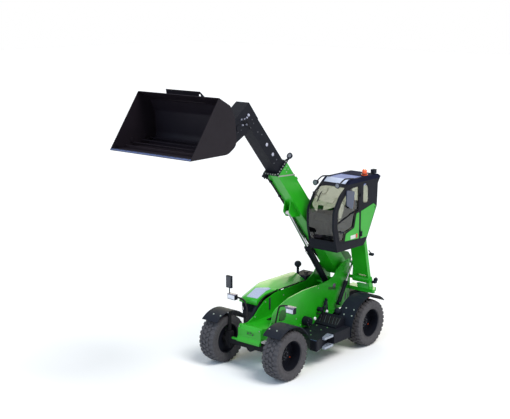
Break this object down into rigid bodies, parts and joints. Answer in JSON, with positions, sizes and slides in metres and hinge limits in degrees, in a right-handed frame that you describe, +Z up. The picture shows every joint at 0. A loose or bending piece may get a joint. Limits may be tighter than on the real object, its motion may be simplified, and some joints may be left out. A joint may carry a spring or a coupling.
{
  "type": "telescopic handler",
  "caption": "Four-wheel telescopic handler with a two-stage side-by-side boom, wide bucket and a glazed operator's cab that lifts on a parallel arm.",
  "frame": {"origin": "on the ground, at the middle of the machine's overall length and width as it stands", "axes": "+X forward, towards the bucket; +Y to the machine's left, the cab's side; +Z up"},
  "size_m": [7.712, 2.542, 7.15],
  "materials": {
    "green_paint": "gloss",
    "dark_paint": "satin",
    "bucket_paint": "satin",
    "black_plastic": "matte",
    "green_plastic": "gloss",
    "tyre_rubber": "matte",
    "rod_chrome": "polished",
    "bare_steel": "brushed",
    "clear_glass": "gloss",
    "seat_cloth": "matte",
    "cast_grey": "matte"
  },
  "bodies": {
    "chassis": {"main_frame": "green_paint", "counterweight": "cast_grey", "front_axle": "cast_grey", "rear_axle": "cast_grey", "rear_fenders": "black_plastic", "platform": "dark_paint", "steps": "bare_steel", "valve_box": "dark_paint", "engine_housing": "dark_paint", "engine_block": "cast_grey", "grille": "black_plastic", "tank": "black_plastic", "headlamps": "black_plastic"},
    "hood": {"hood": "green_plastic"},
    "boom": {"boom_outer": "green_paint"},
    "boom_extension": {"boom_inner": "dark_paint", "boom_head": "dark_paint"},
    "tool": {"coupler": "dark_paint", "bucket": "bucket_paint"},
    "tilt_lever": {"tilt_lever": "dark_paint"},
    "tilt_link": {"tilt_link": "dark_paint"},
    "lift_barrel": {"lift_barrel": "dark_paint"},
    "lift_rod": {"lift_rod": "rod_chrome"},
    "cab_arm": {"cab_arm": "green_paint"},
    "cab": {"cab_base": "dark_paint", "cab_frame": "dark_paint", "cab_roof": "dark_paint", "cab_side_panel": "green_plastic", "cab_glass": "clear_glass", "cab_bracket": "green_paint", "seat": "seat_cloth", "steering_column": "black_plastic", "cab_lights": "black_plastic"},
    "cab_door": {"cab_door": "dark_paint", "door_glass": "clear_glass", "door_panel": "green_plastic", "cab_mirror": "black_plastic"},
    "cab_link": {"cab_link": "green_paint"},
    "cab_lift_barrel": {"cab_lift_barrel": "dark_paint"},
    "cab_lift_rod": {"cab_lift_rod": "rod_chrome"},
    "front_left_hub": {"front_left_knuckle": "cast_grey", "front_left_fender": "black_plastic"},
    "front_left_wheel": {"front_left_tyre": "tyre_rubber", "front_left_rim": "dark_paint"},
    "front_right_hub": {"front_right_knuckle": "cast_grey", "front_right_fender": "black_plastic"},
    "front_right_wheel": {"front_right_tyre": "tyre_rubber", "front_right_rim": "dark_paint"},
    "rear_left_hub": {"rear_left_knuckle": "cast_grey"},
    "rear_left_wheel": {"rear_left_tyre": "tyre_rubber", "rear_left_rim": "dark_paint"},
    "rear_right_hub": {"rear_right_knuckle": "cast_grey"},
    "rear_right_wheel": {"rear_right_tyre": "tyre_rubber", "rear_right_rim": "dark_paint"}
  },
  "joints": [
    {"name": "boom_lift", "type": "hinge", "parent": "chassis", "child": "boom", "pos_m": [-3.046, 0, 2], "axis": [0, -1, 0], "range_deg": [-52.4, 12.6]},
    {"name": "telescope", "type": "slide", "parent": "boom", "child": "boom_extension", "axis": [0.6508, 0, 0.7593], "range_m": [-1.5, 1.3]},
    {"name": "bucket_tilt", "type": "hinge", "parent": "boom_extension", "child": "tool", "pos_m": [2.204, 0, 6.02], "axis": [0, 1, 0], "range_deg": [-80, 55]},
    {"name": "tilt_lever_swing", "type": "hinge", "parent": "boom_extension", "child": "tilt_lever", "pos_m": [1.154, 0, 6.17], "axis": [0, 1, 0], "range_deg": [-80, 55]},
    {"name": "tilt_link_swing", "type": "hinge", "parent": "tilt_lever", "child": "tilt_link", "pos_m": [1.21898, 0, 6.34854], "axis": [0, 1, 0], "range_deg": [-55, 80]},
    {"name": "lift_barrel_swing", "type": "hinge", "parent": "chassis", "child": "lift_barrel", "pos_m": [-2.656, 0, 1.59], "axis": [0, -1, 0], "range_deg": [-55, 13.5]},
    {"name": "lift_rod_slide", "type": "slide", "parent": "lift_barrel", "child": "lift_rod", "axis": [0.6006, 0, 0.7996], "range_m": [-0.48, 0.12]},
    {"name": "cab_lift", "type": "hinge", "parent": "chassis", "child": "cab_arm", "pos_m": [-3.216, 0.785, 1.725], "axis": [0, -1, 0], "range_deg": [-82, 0]},
    {"name": "cab_level", "type": "hinge", "parent": "cab_arm", "child": "cab", "pos_m": [-2.90007, 0.785, 3.12007], "axis": [0, -1, 0], "range_deg": [0, 82]},
    {"name": "cab_link_swing", "type": "hinge", "parent": "chassis", "child": "cab_link", "pos_m": [-3.376, 0.78, 2.055], "axis": [0, -1, 0], "range_deg": [-82, 0]},
    {"name": "cab_lift_barrel_swing", "type": "hinge", "parent": "chassis", "child": "cab_lift_barrel", "pos_m": [-2.604, 0.45, 1.117], "axis": [0, -1, 0], "range_deg": [-18, 0]},
    {"name": "cab_lift_rod_slide", "type": "slide", "parent": "cab_lift_barrel", "child": "cab_lift_rod", "axis": [-0.5131, 0, 0.8583], "range_m": [-0.48, 0]},
    {"name": "cab_door_swing", "type": "hinge", "parent": "cab", "child": "cab_door", "pos_m": [-2.376, 1.244, 3.7], "axis": [0, 0, 1], "range_deg": [0, 95]},
    {"name": "hood_lift", "type": "hinge", "parent": "chassis", "child": "hood", "pos_m": [-1.076, -0.352, 1.712], "axis": [-1, 0, 0], "range_deg": [0, 60]},
    {"name": "front_left_steer", "type": "hinge", "parent": "chassis", "child": "front_left_hub", "pos_m": [0.424, 0.83, 0.63], "axis": [0, 0, 1], "range_deg": [-35, 35]},
    {"name": "front_left_spin", "type": "hinge", "parent": "front_left_hub", "child": "front_left_wheel", "pos_m": [0.424, 1.031, 0.63], "axis": [0, 1, 0], "continuous": true},
    {"name": "front_right_steer", "type": "hinge", "parent": "chassis", "child": "front_right_hub", "pos_m": [0.424, -0.83, 0.63], "axis": [0, 0, 1], "range_deg": [-35, 35]},
    {"name": "front_right_spin", "type": "hinge", "parent": "front_right_hub", "child": "front_right_wheel", "pos_m": [0.424, -1.031, 0.63], "axis": [0, 1, 0], "continuous": true},
    {"name": "rear_left_steer", "type": "hinge", "parent": "chassis", "child": "rear_left_hub", "pos_m": [-2.976, 0.83, 0.63], "axis": [0, 0, -1], "range_deg": [-30, 30]},
    {"name": "rear_left_spin", "type": "hinge", "parent": "rear_left_hub", "child": "rear_left_wheel", "pos_m": [-2.976, 1.031, 0.63], "axis": [0, 1, 0], "continuous": true},
    {"name": "rear_right_steer", "type": "hinge", "parent": "chassis", "child": "rear_right_hub", "pos_m": [-2.976, -0.83, 0.63], "axis": [0, 0, -1], "range_deg": [-30, 30]},
    {"name": "rear_right_spin", "type": "hinge", "parent": "rear_right_hub", "child": "rear_right_wheel", "pos_m": [-2.976, -1.031, 0.63], "axis": [0, 1, 0], "continuous": true}
  ],
  "couplings": [
    {"joint": "tilt_lever_swing", "follows": "bucket_tilt", "ratio": 1},
    {"joint": "tilt_link_swing", "follows": "bucket_tilt", "ratio": -1},
    {"joint": "lift_barrel_swing", "follows": "boom_lift", "ratio": 1.045},
    {"joint": "lift_rod_slide", "follows": "boom_lift", "m_per_rad": 0.52},
    {"joint": "cab_level", "follows": "cab_lift", "ratio": -1},
    {"joint": "cab_link_swing", "follows": "cab_lift", "ratio": 1},
    {"joint": "cab_lift_barrel_swing", "follows": "cab_lift", "ratio": 0.2084},
    {"joint": "cab_lift_rod_slide", "follows": "cab_lift", "m_per_rad": 0.3305},
    {"joint": "front_right_steer", "follows": "front_left_steer", "ratio": 1},
    {"joint": "rear_right_steer", "follows": "rear_left_steer", "ratio": 1}
  ]
}
